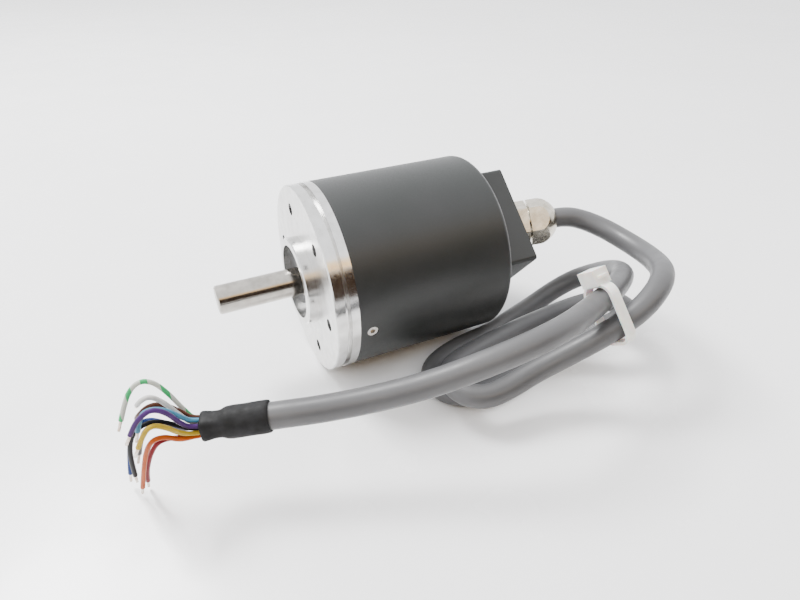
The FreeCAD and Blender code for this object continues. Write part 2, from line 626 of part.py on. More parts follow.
def housing_plane(body, name, along, turn=0.0):
    """A sketch square to the axis, a distance behind the body's front, turned about the axis."""
    offset = Placement(Vector(0, 0, size_of(along)), Rotation(Vector(0, 0, 1), turn))
    sketch = sketch_on(body, name, "YZ_Plane", offset)
    bind(sketch, "AttachmentOffset.Base.z", along)
    return sketch


def pad(body, sketch, length):
    grow = body.newObject("PartDesign::Pad", f"{sketch.Name}_pad")
    grow.Profile = sketch
    bind(grow, "Length", length)
    body.Tip = grow
    doc.recompute()
    return grow


def outlet_sketch(body, name, radius, along):
    """A circle square to the gland's axis, in the frame of the housing's own YZ plane."""
    centre = on_gland(along) - Vector(size_of("housing_at"), 0, 0)
    local_axis = Vector(GLAND_AXIS.y, GLAND_AXIS.z, GLAND_AXIS.x)
    offset = Placement(Vector(centre.y, centre.z, centre.x), Rotation(Vector(0, 0, 1), local_axis))
    sketch = sketch_on(body, name, "YZ_Plane", offset)
    draw_circle(sketch, radius)
    return sketch


def fillet(body, name, edges, radius):
    base = body.Tip
    rounding = body.newObject("PartDesign::Fillet", name)
    rounding.Base = (base, edges)
    bind(rounding, "Radius", radius)
    body.Tip = rounding
    doc.recompute()


def rear_rim_edges(shape):
    """The circular edge where the housing's side meets its rear wall."""
    rear = size_of("housing_length")
    radius = size_of("flange_radius")
    names = []
    for index, edge in enumerate(shape.Edges, start=1):
        curve = edge.Curve
        if not isinstance(curve, Part.Circle):
            continue
        if abs(curve.Radius - radius) < 1e-3 and abs(curve.Center.x - rear) < 1e-3:
            names.append(f"Edge{index}")
    return names


def block_edges(shape):
    """The four edges of the block that run along the axis, on its outside."""
    corner = size_of("block_side") / math.sqrt(2)
    names = []
    for index, edge in enumerate(shape.Edges, start=1):
        ends = [vertex.Point for vertex in edge.Vertexes]
        if len(ends) != 2 or abs(ends[0].x - ends[1].x) < 5:
            continue
        if all(abs(math.hypot(end.y, end.z) - corner) < 1e-3 for end in ends):
            names.append(f"Edge{index}")
    return names


housing = turned("housing_cap", "housing_at", [
    (None, "housing_inner"), (None, "flange_radius"), ("housing_length", "flange_radius"),
    ("housing_length", "rear_opening_radius"), ("rear_wall_start", "rear_opening_radius"),
    ("rear_wall_start", "housing_inner")])
fillet(housing, "housing_rear_edge", rear_rim_edges(housing.Tip.Shape), "rear_edge_fillet")
block_tube = housing_plane(housing, "block_tube_outline", "block_start", size_of("block_turn"))
draw_square(block_tube, "block_side")
draw_square(block_tube, "block_hollow")
pad(housing, block_tube, "block_tube")
block_wall = housing_plane(housing, "block_wall_outline", "block_wall_start", size_of("block_turn"))
draw_square(block_wall, "block_side")
pad(housing, block_wall, "block_wall")
fillet(housing, "block_corners", block_edges(housing.Tip.Shape), "block_fillet")
pad(housing, outlet_sketch(housing, "outlet_outline", "outlet_radius", "outlet_back"), "outlet_length")
pocket(housing, outlet_sketch(housing, "outlet_bore_outline", "outlet_bore", "gland_washer_start"),
       "outlet_bore_depth", False)
radial_holes(housing, "housing_cover_holes", "cover_hole", "cover_screw_along", "cover_hole_floor",
             "cover_hole_depth", COVER_SCREWS, "cover_screw_angle")

hoop("housing_o_ring", "housing_ring_at", "housing_ring_circle", "housing_ring_wire")
cover_screw = headed_screw(
    Vector(size_of("cover_screw_at"), size_of("cover_screw_foot"), 0), Vector(0, 1, 0),
    size_of("cover_screw_shank"), size_of("cover_screw_neck") - size_of("cover_screw_foot"),
    size_of("cover_screw_head"), size_of("cover_screw_top") - size_of("cover_screw_neck"),
    size_of("cover_screw_socket"), size_of("cover_screw_socket_depth"))
shaped("housing_screws", round_copies(cover_screw, COVER_SCREWS, size_of("cover_screw_angle")))

# ---------------------------------------------------------------- cable gland


def gland_ring(label, start, inner, outer, length):
    """A ring on the gland's axis."""
    piece = ring(label, None, inner, outer, length)
    piece.Placement = Placement(on_gland(start), GLAND_TURN)
    return piece


def hexagon(name, start, length):
    prism = doc.addObject("Part::Prism", name)
    prism.Polygon = 6
    prism.setExpression("Circumradius", "dimensions.gland_flats / sqrt(3)")
    bind(prism, "Height", length)
    prism.Placement = Placement(on_gland(start), GLAND_UPRIGHT)
    return prism


def gland_bar(name, radius, start, length):
    return cylinder(name, radius, length, Placement(on_gland(start), GLAND_UPRIGHT))


gland_ring("gland_washer", "gland_washer_start", "outlet_bore", "gland_washer_radius",
           "gland_washer_thickness")
body_hex = hexagon("gland_body_hex", None, "gland_hex_length")
body_tail = gland_bar("gland_body_tail", "gland_thread_radius", "gland_thread_start",
                      "gland_thread_length")
body_neck = gland_bar("gland_body_neck", "gland_neck_radius", "gland_neck_start", "gland_neck_length")
body_solid = combine("Part::Fuse", "gland_body_rear", body_hex, body_tail)
body_solid = combine("Part::Fuse", "gland_body_solid", body_solid, body_neck)
body_bore = gland_bar("gland_body_bore", "gland_bore", "gland_thread_start", "cable_entry_length")
body_solid = combine("Part::Cut", "gland_body_bored", body_solid, body_bore)
neck_bore = gland_bar("gland_body_seat", "gland_neck_bore", "gland_neck_start", "gland_neck_length")
keep("gland_body", combine("Part::Cut", "gland_body", body_solid, neck_bore))
gland_ring("gland_insert", "gland_insert_start", "cable_radius", "gland_insert_radius",
           "gland_insert_length")
gland_ring("gland_claw", "gland_claw_start", "cable_radius", "gland_claw_radius", "gland_claw_length")

nut_hex = hexagon("gland_nut_hex", "gland_nut_start", "gland_nut_length")
nut_dome = doc.addObject("Part::Sphere", "gland_nut_dome")
bind(nut_dome, "Radius", "gland_dome_radius")
nut_dome.Placement = Placement(on_gland("gland_dome_centre"), GLAND_UPRIGHT)
nut_solid = combine("Part::Common", "gland_nut_solid", nut_hex, nut_dome)
nut_cuts = (("thread", "gland_nut_bore", "gland_nut_bore_length"),
            ("seat", "gland_nut_seat", "gland_nut_seat_length"),
            ("mouth", "gland_mouth", "cable_entry_length"))
for cut_name, cut_radius, cut_length in nut_cuts:
    tool = gland_bar(f"gland_nut_{cut_name}_tool", cut_radius, "gland_nut_start", cut_length)
    nut_solid = combine("Part::Cut", f"gland_nut_{cut_name}", nut_solid, tool)
keep("gland_nut", nut_solid)

entry = gland_bar("cable_entry", "cable_radius", "cable_entry_start", "cable_entry_length")
keep("cable_entry", entry)

# ---------------------------------------------------------------- cable and inner leads

INNER_LEADS = [(56, 0, -8.5), (62, 0, -8.5), (67.6, 4.8, -4.6), (73.315, 5.207, -0.518),
               (79.56, 2.424, 0.721)]

# The cable leaves the gland, makes two flat turns beside the housing and runs forward past the
# flange. The strands lie on the surface at z = -28 or stand above it on their own stiffness.
CABLE_ROUTE = [
    (98.482, -6.008, 4.475), (102.976, -8.011, 5.367), (108.6, -12.5, 4.3), (112.6, -20, 3),
    (114.4, -29.5, 2), (113.5, -39.2, 2.4), (109.5, -48.3, 4.2), (103.6, -55.9, 6.2),
    (96.2, -61.3, 5.8), (88.5, -63.8, 2.5), (81, -63.5, -2), (73.5, -61.4, -7.2),
    (64.9, -59, -12.2), (55.2, -57.4, -16.3), (45.8, -57.8, -19), (37.5, -57.8, -20),
    (32.2, -53.7, -20), (31, -47.2, -20), (34.3, -41.2, -20), (42, -38.3, -20),
    (52.5, -35.8, -20), (65, -33, -20.5), (77, -31, -21), (89, -30.2, -20.5),
    (99.5, -31.5, -19), (104.8, -36.6, -17), (105, -43.5, -15), (100.3, -48.6, -14),
    (92.3, -49.3, -16), (84, -46.5, -20.5), (75, -43.8, -25), (65, -43.5, -28),
    (55.5, -46, -28), (46, -47.8, -28), (37.5, -48, -28), (32, -43.7, -28),
    (30.1, -37, -28), (33, -30.7, -28), (41.5, -26.2, -28), (51, -24, -28),
    (62, -22.6, -28), (74, -18.5, -28), (86, -15.5, -27), (96.5, -14.8, -23),
    (103.5, -18, -17.5), (107, -25, -11.5), (106.1, -33.5, -5.4), (102, -41.4, -1.4),
    (94.7, -47.7, 1.3), (84.9, -53.6, 3.1), (71, -60.3, 5.4), (56.4, -66.2, 7.1),
    (42, -69, 7.5), (28.5, -67.5, 4.5), (14.5, -63.5, -0.5), (0, -58.5, -4.2),
    (-14, -53.8, -6.3), (-26, -49.6, -7.2), (-36.5, -46, -8.4)]

# Each conductor: how far from the sleeve's axis it leaves, at what angle round it, and its route
# from there on, as it fans out and droops.
CONDUCTORS = {
    "orange": ("wire_ring", -45, [
        (-49, -46.8, -8.5), (-52, -48.5, -4), (-55, -48.3, -4), (-57.3, -46.7, -8.5),
        (-59, -45, -14.5), (-60.5, -43, -20.5), (-62, -41, -27)]),
    "yellow": ("wire_ring", 0, [
        (-48.5, -47.5, -5.5), (-50.8, -49.5, -0.5), (-53.5, -50, 2.2), (-56, -49.5, 0.5),
        (-58.5, -48.5, -5)]),
    "red": ("wire_ring", -90, [
        (-49, -44.8, -9.5), (-52, -45.8, -7.5), (-54.6, -45.2, -8.5), (-56.8, -44, -12.5),
        (-58.5, -42.3, -17.5), (-59.8, -40.5, -22.5), (-60.5, -39, -27.3)]),
    "violet": ("wire_ring", 45, [
        (-48, -46, -3.5), (-50, -47.5, 2.5), (-53, -48, 5.5), (-56, -47.5, 3.5),
        (-58, -47, 1), (-59.5, -46.5, -2)]),
    "black": ("wire_core", 0, [
        (-49, -43.7, -6), (-52.5, -43.6, -3), (-56, -43.4, -2.5), (-59.3, -42.8, -5),
        (-61.3, -42, -10), (-62.3, -41, -16.5), (-62.9, -39.4, -23.3)]),
    "light_blue": ("wire_ring", 90, [
        (-47.6, -44.9, -2.2), (-50.5, -45.6, 2), (-53.5, -45.6, 3.5), (-56.3, -44.9, 1.8),
        (-57.9, -44.7, -3.3)]),
    "white": ("wire_core", 120, [
        (-47.8, -42.4, -4), (-50.2, -42.9, 2), (-53, -43, 5.5), (-55.8, -42.5, 4),
        (-56.6, -39.6, 0.8)]),
    "brown": ("wire_ring", 135, [
        (-47.3, -41, -4.2), (-50.5, -41, -0.2), (-54, -41.2, 1), (-57, -40.2, -2),
        (-58, -37.3, -5.4)]),
    "blue": ("wire_core", 240, [
        (-48.5, -42, -8.5), (-52, -41, -6), (-55.5, -39.8, -4.5), (-58.8, -38.6, -7),
        (-61.3, -37.5, -12), (-63, -36.5, -18.5), (-64.5, -35.5, -26)]),
    "grey": ("wire_ring", -135, [
        (-48.5, -40.3, -11), (-52, -38.8, -9.5), (-55.5, -37.5, -9), (-58.5, -37, -12),
        (-60.5, -36.8, -18.5)]),
    "white_green": ("wire_ring", 180, [
        (-46.8, -39.3, -4.5), (-49, -38.6, 1), (-51.5, -38.2, 5.5), (-54.5, -38, 6.8),
        (-57.3, -38, 4.8), (-59.5, -38, 0.8), (-61.5, -38, -4)]),
}


def report_tube(name, volume, radius, length, radii):
    section = math.pi * radius ** 2
    print(f"{name}: length {length:.1f}, volume / (section x length) {volume / (section * length):.4f}, "
          f"radii {min(radii):.1f} to {max(radii):.1f}")


def cord(label, points, radius):
    radii = []
    shape, length = tube([Vector(*point) for point in points], radius, radii)
    report_tube(label, shape.Volume, radius, length, radii)
    return shaped(label, shape)


cord("inner_leads", INNER_LEADS, size_of("lead_radius"))
cord("cable", CABLE_ROUTE, size_of("cable_radius"))

# ---------------------------------------------------------------- sleeve and conductors

SLEEVE_FRONT = Vector(*CABLE_ROUTE[-2])
SLEEVE_AXIS = (Vector(*CABLE_ROUTE[-1]) - SLEEVE_FRONT).normalize()
SLEEVE_UP = (Vector(0, 0, 1) - SLEEVE_AXIS * SLEEVE_AXIS.z).normalize()
SLEEVE_SIDE = SLEEVE_UP.cross(SLEEVE_AXIS)

sleeve = turned("shrink_sleeve", None, [
    (None, "sleeve_bore"), (None, "sleeve_radius"), ("sleeve_shoulder", "sleeve_radius"),
    ("sleeve_neck", "sleeve_neck_radius"), ("sleeve_length", "sleeve_flare"),
    ("sleeve_length", "sleeve_throat"), ("sleeve_step", "sleeve_throat"),
    ("sleeve_step", "sleeve_bore")])
sleeve.Placement = Placement(SLEEVE_FRONT, Rotation(Vector(1, 0, 0), SLEEVE_AXIS))


def conductor_route(leave, angle, outside):
    """From beside the cable's cut end, straight through the sleeve, then along its own bends."""
    spread = math.radians(angle)
    outward = SLEEVE_SIDE * math.cos(spread) + SLEEVE_UP * math.sin(spread)
    offset = outward * size_of(leave)
    inside = SLEEVE_FRONT + SLEEVE_AXIS * size_of("wire_start") + offset
    mouth = SLEEVE_FRONT + SLEEVE_AXIS * size_of("wire_mouth") + offset
    return [inside, mouth] + [Vector(*point) for point in outside]


tips = []
for colour, (leave, angle, outside) in CONDUCTORS.items():
    route = conductor_route(leave, angle, outside)
    cord(f"wire_{colour}", route, size_of("wire_radius"))
    heading = (route[-1] - route[-2]).normalize()
    tips.append(Part.makeCylinder(size_of("tip_radius"), size_of("tip_length"), route[-1], heading))
shaped("wire_tips", Part.makeCompound(tips))

# ---------------------------------------------------------------- cable tie

TIE_UPPER = Vector(77.9, -57, 4.3)
TIE_LOWER = Vector(79.3, -63, -3.2)
TIE_ALONG = Vector(-0.989, -0.064, -0.132)


def strap_face(margin):
    """Flat face with rounded corners about the two strands, square to the strap's own axis."""
    across = TIE_LOWER - TIE_UPPER
    down = across.normalize()
    along = (TIE_ALONG - down * TIE_ALONG.dot(down)).normalize()
    side = along.cross(down)
    tall = size_of("strap_end") + (TIE_LOWER - TIE_UPPER).Length / 2 + margin
    wide = size_of("strap_side") + margin
    corner = size_of("strap_corner") + margin
    centre = (TIE_UPPER + TIE_LOWER) / 2 - along * (size_of("strap_width") / 2)
    diagonal = corner * (1 - math.sqrt(0.5))
    edges = []
    last = centre + side * (wide - corner) - down * tall
    for one, two in ((1, -1), (1, 1), (-1, 1), (-1, -1)):
        corner_on_side = centre + side * (one * wide) + down * (two * (tall - corner))
        corner_on_end = centre + side * (one * (wide - corner)) + down * (two * tall)
        middle = centre + side * (one * (wide - diagonal)) + down * (two * (tall - diagonal))
        enter, leave = corner_on_end, corner_on_side
        if one == two:
            enter, leave = corner_on_side, corner_on_end
        if (enter - last).Length > 0.001:
            edges.append(Part.LineSegment(last, enter).toShape())
        edges.append(Part.Arc(enter, middle, leave).toShape())
        last = leave
    first = centre + side * (wide - corner) - down * tall
    edges.append(Part.LineSegment(last, first).toShape())
    return Part.Face(Part.Wire(edges)), along


def strap():
    """Strap loop round two strands of the cable, its head above them and its cut tail."""
    thickness = size_of("strap_thickness")
    outer, along = strap_face(thickness)
    inner, along = strap_face(0)
    loop = outer.cut(inner).extrude(along * size_of("strap_width"))
    upwards = (TIE_UPPER - TIE_LOWER).normalize()
    across = upwards.cross(along)
    length = size_of("strap_head_length")
    width = size_of("strap_head_width")
    height = size_of("strap_head_height")
    head = Part.makeBox(length, width, height, Vector(-length / 2, -width / 2, -size_of("strap_head_sink")))
    tail_start = Vector(-size_of("strap_width") / 2, width / 2 - size_of("strap_tail_sink"),
                        size_of("strap_tail_height"))
    tail = Part.makeBox(size_of("strap_width"), size_of("strap_tail_length"),
                        size_of("strap_tail_thickness"), tail_start)
    frame = FreeCAD.Matrix(along.x, across.x, upwards.x, 0, along.y, across.y, upwards.y, 0,
                           along.z, across.z, upwards.z, 0, 0, 0, 0, 1)
    crown = head.fuse(tail)
    top = TIE_UPPER + upwards * (size_of("strap_end") + thickness)
    crown.Placement = Placement(top, Placement(frame).Rotation)
    return loop.fuse(crown).removeSplitter()


shaped("cable_tie", strap())

# ---------------------------------------------------------------- check and export

doc.recompute()
faults = []
for item in doc.Objects:
    if "Invalid" in item.State or "Error" in item.State:
        faults.append(f"{item.Label}: {item.State}")
for label, item in PARTS.items():
    if item.Shape.isNull() or not item.Shape.isValid():
        faults.append(f"{label}: bad shape")
    elif not item.Shape.Solids:
        faults.append(f"{label}: no solid")
if faults:
    raise RuntimeError("; ".join(faults))
for label, item in PARTS.items():
    item.Shape.exportStep(f"parts/{label}.step")
print(f"{len(PARTS)} nodes written")
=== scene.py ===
"""Looks of the rotary encoder: camera, cords, materials and fine detail, in metres."""
import json
import math

import bmesh
import bpy
from mathutils import Matrix, Vector, noise

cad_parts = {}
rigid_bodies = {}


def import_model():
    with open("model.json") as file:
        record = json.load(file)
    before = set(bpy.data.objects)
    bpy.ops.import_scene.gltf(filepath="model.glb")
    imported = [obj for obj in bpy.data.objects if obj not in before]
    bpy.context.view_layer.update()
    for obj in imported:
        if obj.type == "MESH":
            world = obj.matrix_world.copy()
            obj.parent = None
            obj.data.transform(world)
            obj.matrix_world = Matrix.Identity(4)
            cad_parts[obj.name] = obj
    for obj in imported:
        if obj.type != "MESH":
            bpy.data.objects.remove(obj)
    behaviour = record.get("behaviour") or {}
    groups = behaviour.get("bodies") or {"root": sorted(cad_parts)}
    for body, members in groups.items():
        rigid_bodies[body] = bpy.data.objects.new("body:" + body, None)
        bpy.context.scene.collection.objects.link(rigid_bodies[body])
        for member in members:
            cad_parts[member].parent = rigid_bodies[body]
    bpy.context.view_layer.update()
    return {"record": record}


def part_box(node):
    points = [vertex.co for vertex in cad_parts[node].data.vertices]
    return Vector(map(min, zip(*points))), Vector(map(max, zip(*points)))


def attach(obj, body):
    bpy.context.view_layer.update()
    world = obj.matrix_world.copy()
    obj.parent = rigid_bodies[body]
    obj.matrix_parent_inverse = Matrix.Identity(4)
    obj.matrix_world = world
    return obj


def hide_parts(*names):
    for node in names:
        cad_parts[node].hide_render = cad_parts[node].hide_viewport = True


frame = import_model()

BODY = "encoder_body"
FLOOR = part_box("flange")[0][2]  # the flange and the cable lie on it
CABLE_RADIUS = 0.00375
WIRE_RADIUS = 0.00065

# ------------------------------------------------------------------ camera

CAMERA_PLACE = Vector((-0.04154, -0.16264, 0.10561))
CAMERA_RIGHT = Vector((0.90352, -0.42856, 0.0))
CAMERA_UP = Vector((0.24406, 0.51456, 0.82200))
CAMERA_BACK = Vector((-0.35227, -0.74269, 0.56950))
LENS_MM = 26.0
SENSOR_MM = 36.0


def frame_of(start, x_axis, y_axis, z_axis):
    """Matrix with these three axes at a place."""
    made = Matrix((x_axis, y_axis, z_axis)).transposed().to_4x4()
    made.translation = start
    return made


def link(piece):
    bpy.context.scene.collection.objects.link(piece)
    return piece


camera_data = bpy.data.cameras.new("camera")
camera_data.lens = LENS_MM
camera_data.sensor_width = SENSOR_MM
camera_data.clip_start = 0.01
camera = link(bpy.data.objects.new("camera", camera_data))
camera.matrix_world = frame_of(CAMERA_PLACE, CAMERA_RIGHT, CAMERA_UP, CAMERA_BACK)
bpy.context.scene.camera = camera

# ------------------------------------------------------------------ routes, as in the CAD model

CABLE_ROUTE = [
    (0.098482, -0.006008, 0.004475), (0.102976, -0.008011, 0.005367), (0.1086, -0.0125, 0.0043),
    (0.1126, -0.02, 0.003), (0.1144, -0.0295, 0.002), (0.1135, -0.0392, 0.0024),
    (0.1095, -0.0483, 0.0042), (0.1036, -0.0559, 0.0062), (0.0962, -0.0613, 0.0058),
    (0.0885, -0.0638, 0.0025), (0.081, -0.0635, -0.002), (0.0735, -0.0614, -0.0072),
    (0.0649, -0.059, -0.0122), (0.0552, -0.0574, -0.0163), (0.0458, -0.0578, -0.019),
    (0.0375, -0.0578, -0.02), (0.0322, -0.0537, -0.02), (0.031, -0.0472, -0.02),
    (0.0343, -0.0412, -0.02), (0.042, -0.0383, -0.02), (0.0525, -0.0358, -0.02),
    (0.065, -0.033, -0.0205), (0.077, -0.031, -0.021), (0.089, -0.0302, -0.0205),
    (0.0995, -0.0315, -0.019), (0.1048, -0.0366, -0.017), (0.105, -0.0435, -0.015),
    (0.1003, -0.0486, -0.014), (0.0923, -0.0493, -0.016), (0.084, -0.0465, -0.0205),
    (0.075, -0.0438, -0.025), (0.065, -0.0435, -0.028), (0.0555, -0.046, -0.028),
    (0.046, -0.0478, -0.028), (0.0375, -0.048, -0.028), (0.032, -0.0437, -0.028),
    (0.0301, -0.037, -0.028), (0.033, -0.0307, -0.028), (0.0415, -0.0262, -0.028),
    (0.051, -0.024, -0.028), (0.062, -0.0226, -0.028), (0.074, -0.0185, -0.028),
    (0.086, -0.0155, -0.027), (0.0965, -0.0148, -0.023), (0.1035, -0.018, -0.0175),
    (0.107, -0.025, -0.0115), (0.1061, -0.0335, -0.0054), (0.102, -0.0414, -0.0014),
    (0.0947, -0.0477, 0.0013), (0.0849, -0.0536, 0.0031), (0.071, -0.0603, 0.0054),
    (0.0564, -0.0662, 0.0071), (0.042, -0.069, 0.0075), (0.0285, -0.0675, 0.0045),
    (0.0145, -0.0635, -0.0005), (0.0, -0.0585, -0.0042), (-0.014, -0.0538, -0.0063),
    (-0.026, -0.0496, -0.0072), (-0.0365, -0.046, -0.0084),
]

WIRES = {
    "orange": [
        (-0.03725, -0.04735, -0.00996), (-0.04515, -0.04464, -0.01086), (-0.049, -0.0468, -0.0085),
        (-0.052, -0.0485, -0.004), (-0.055, -0.0483, -0.004), (-0.0573, -0.0467, -0.0085),
        (-0.059, -0.045, -0.0145), (-0.0605, -0.043, -0.0205), (-0.062, -0.041, -0.027),
    ],
    "yellow": [
        (-0.03761, -0.04789, -0.00845), (-0.04551, -0.04518, -0.00935), (-0.0485, -0.0475, -0.0055),
        (-0.0508, -0.0495, -0.0005), (-0.0535, -0.05, 0.0022), (-0.056, -0.0495, 0.0005),
        (-0.0585, -0.0485, -0.005),
    ],
    "red": [
        (-0.03669, -0.04593, -0.01058), (-0.04459, -0.04323, -0.01149), (-0.049, -0.0448, -0.0095),
        (-0.052, -0.0458, -0.0075), (-0.0546, -0.0452, -0.0085), (-0.0568, -0.044, -0.0125),
        (-0.0585, -0.0423, -0.0175), (-0.0598, -0.0405, -0.0225), (-0.0605, -0.039, -0.0273),
    ],
    "violet": [
        (-0.03756, -0.04724, -0.00694), (-0.04546, -0.04454, -0.00784), (-0.048, -0.046, -0.0035),
        (-0.05, -0.0475, 0.0025), (-0.053, -0.048, 0.0055), (-0.056, -0.0475, 0.0035),
        (-0.058, -0.047, 0.001), (-0.0595, -0.0465, -0.002),
    ],
    "black": [
        (-0.03716, -0.0466, -0.00845), (-0.04506, -0.04389, -0.00935), (-0.049, -0.0437, -0.006),
        (-0.0525, -0.0436, -0.003), (-0.056, -0.0434, -0.0025), (-0.0593, -0.0428, -0.005),
        (-0.0613, -0.042, -0.01), (-0.0623, -0.041, -0.0165), (-0.0629, -0.0394, -0.0233),
    ],
    "light_blue": [
        (-0.03713, -0.04578, -0.00631), (-0.04503, -0.04308, -0.00721), (-0.0476, -0.0449, -0.0022),
        (-0.0505, -0.0456, 0.002), (-0.0535, -0.0456, 0.0035), (-0.0563, -0.0449, 0.0018),
        (-0.0579, -0.0447, -0.0033),
    ],
    "white": [
        (-0.03685, -0.04547, -0.00778), (-0.04475, -0.04276, -0.00868), (-0.0478, -0.0424, -0.004),
        (-0.0502, -0.0429, 0.002), (-0.053, -0.043, 0.0055), (-0.0558, -0.0425, 0.004),
        (-0.0566, -0.0396, 0.0008),
    ],
    "brown": [
        (-0.03657, -0.04437, -0.00694), (-0.04447, -0.04166, -0.00784), (-0.0473, -0.041, -0.0042),
        (-0.0505, -0.041, -0.0002), (-0.054, -0.0412, 0.001), (-0.057, -0.0402, -0.002),
        (-0.058, -0.0373, -0.0054),
    ],
    "blue": [
        (-0.03671, -0.04551, -0.00912), (-0.04461, -0.04281, -0.01002), (-0.0485, -0.042, -0.0085),
        (-0.052, -0.041, -0.006), (-0.0555, -0.0398, -0.0045), (-0.0588, -0.0386, -0.007),
        (-0.0613, -0.0375, -0.012), (-0.063, -0.0365, -0.0185), (-0.0645, -0.0355, -0.026),
    ],
    "grey": [
        (-0.03626, -0.04447, -0.00996), (-0.04416, -0.04177, -0.01086), (-0.0485, -0.0403, -0.011),
        (-0.052, -0.0388, -0.0095), (-0.0555, -0.0375, -0.009), (-0.0585, -0.037, -0.012),
        (-0.0605, -0.0368, -0.0185),
    ],
    "white_green": [
        (-0.03621, -0.04383, -0.00845), (-0.04411, -0.04112, -0.00935), (-0.0468, -0.0393, -0.0045),
        (-0.049, -0.0386, 0.001), (-0.0515, -0.0382, 0.0055), (-0.0545, -0.038, 0.0068),
        (-0.0573, -0.038, 0.0048), (-0.0595, -0.038, 0.0008), (-0.0615, -0.038, -0.004),
    ],
}

# ------------------------------------------------------------------ material helpers
# The first argument is the material, or the world, whose nodes they add to.


def new_material(name, colour, metallic=0.0, roughness=0.5, **sockets):
    """A Principled material; sockets are constants for the shader, by name with underscores."""
    made = bpy.data.materials.new(name)
    made.use_nodes = True
    made.diffuse_color = (*colour, 1)
    shader = made.node_tree.nodes["Principled BSDF"]
    shader.inputs["Base Color"].default_value = (*colour, 1)
    shader.inputs["Metallic"].default_value = metallic
    shader.inputs["Roughness"].default_value = roughness
    for socket, value in sockets.items():
        shader.inputs[socket.replace("_", " ")].default_value = value
    return made


def shader_of(made):
    return made.node_tree.nodes["Principled BSDF"]


def add_node(made, kind, **settings):
    node = made.node_tree.nodes.new(kind)
    for name, value in settings.items():
        setattr(node, name, value)
    return node


def wire_up(made, source, target):
    made.node_tree.links.new(source, target)


def place(made):
    """The point on the surface, in the object's own frame."""
    return add_node(made, "ShaderNodeTexCoord").outputs["Object"]


def axis_of(made, name):
    split = add_node(made, "ShaderNodeSeparateXYZ")
    wire_up(made, place(made), split.inputs[0])
    return split.outputs[name]


def sums(made, operation, first, second=None, clamp=False):
    """A Math node on sockets or numbers."""
    node = add_node(made, "ShaderNodeMath", operation=operation, use_clamp=clamp)
    for index, value in enumerate((first, second)):
        if value is None:
            continue
        if isinstance(value, (int, float)):
            node.inputs[index].default_value = value
        else:
            wire_up(made, value, node.inputs[index])
    return node.outputs[0]


def from_axis(made):
    """Distance from the shaft axis."""
    y = axis_of(made, "Y")
    z = axis_of(made, "Z")
    squares = sums(made, "ADD", sums(made, "MULTIPLY", y, y), sums(made, "MULTIPLY", z, z))
    return sums(made, "SQRT", squares)


def mottle(made, scale, detail=3.0, roughness=0.55):
    """Noise from 0 to 1; scale is about one feature per 1/scale metres."""
    texture = add_node(made, "ShaderNodeTexNoise")
    texture.inputs["Scale"].default_value = scale
    texture.inputs["Detail"].default_value = detail
    texture.inputs["Roughness"].default_value = roughness
    wire_up(made, place(made), texture.inputs["Vector"])
    return texture.outputs[0]


def spread(made, value, low, high, new_low, new_high, shape="LINEAR"):
    """Move a value from one range to another and stop at its ends."""
    node = add_node(made, "ShaderNodeMapRange", interpolation_type=shape)
    node.clamp = True
    wire_up(made, value, node.inputs["Value"])
    limits = {"From Min": low, "From Max": high, "To Min": new_low, "To Max": new_high}
    for name, number in limits.items():
        node.inputs[name].default_value = number
    return node.outputs[0]


def blend_colours(made, factor, first, second):
    """The first colour at 0, the second at 1; each is a socket or three numbers."""
    node = add_node(made, "ShaderNodeMix", data_type="RGBA")
    wire_up(made, factor, node.inputs[0])
    for socket, colour in ((node.inputs[6], first), (node.inputs[7], second)):
        if isinstance(colour, tuple):
            socket.default_value = (*colour, 1)
        else:
            wire_up(made, colour, socket)
    return node.outputs[2]


def colour_from(made, socket):
    wire_up(made, socket, shader_of(made).inputs["Base Color"])


def roughness_from(made, socket):
    wire_up(made, socket, shader_of(made).inputs["Roughness"])


def bump(made, height, strength, distance):
    """Add one layer of relief above what the shader's normal already has."""
    node = add_node(made, "ShaderNodeBump")
    node.inputs["Strength"].default_value = strength
    node.inputs["Distance"].default_value = distance
    wire_up(made, height, node.inputs["Height"])
    normal = shader_of(made).inputs["Normal"]
    if normal.is_linked:
        wire_up(made, normal.links[0].from_socket, node.inputs["Normal"])
    wire_up(made, node.outputs[0], normal)


def grain(made, scale, strength, depth, detail=3.0):
    """Relief of noise."""
    bump(made, mottle(made, scale, detail), strength, depth)


def ripple(made, value, pitch, wander=0.0, wander_scale=300.0):
    """Even ridges along a distance, a pitch apart, that wander a little."""
    if wander:
        value = sums(made, "ADD", value, sums(made, "MULTIPLY", mottle(made, wander_scale, 2.0), wander))
    return sums(made, "SINE", sums(made, "MULTIPLY", value, 2 * math.pi / pitch))


def patches(made, scale, dark, light, low=0.35, high=0.65, detail=3.0):
    """Soft patches of two close colours."""
    return blend_colours(made, spread(made, mottle(made, scale, detail), low, high, 0, 1), dark, light)


def mottled(made, light, dark, scale):
    colour_from(made, patches(made, scale, dark, light))


def uneven_gloss(made, scale, smooth, rough, detail=3.0):
    roughness_from(made, spread(made, mottle(made, scale, detail), 0.3, 0.7, smooth, rough))


# ------------------------------------------------------------------ materials

MATERIALS = {}


def slot_material(name, colour, metallic=0.0, roughness=0.5, **sockets):
    """The material for the record's slot of the same name."""
    made = new_material(name, colour, metallic, roughness, **sockets)
    MATERIALS[name] = made
    return made


def facing_axis(made):
    """1 on faces square to the shaft axis, 0 on the cylinders round it."""
    geometry = add_node(made, "ShaderNodeNewGeometry")
    split = add_node(made, "ShaderNodeSeparateXYZ")
    wire_up(made, geometry.outputs["Normal"], split.inputs[0])
    return sums(made, "ABSOLUTE", split.outputs["X"])


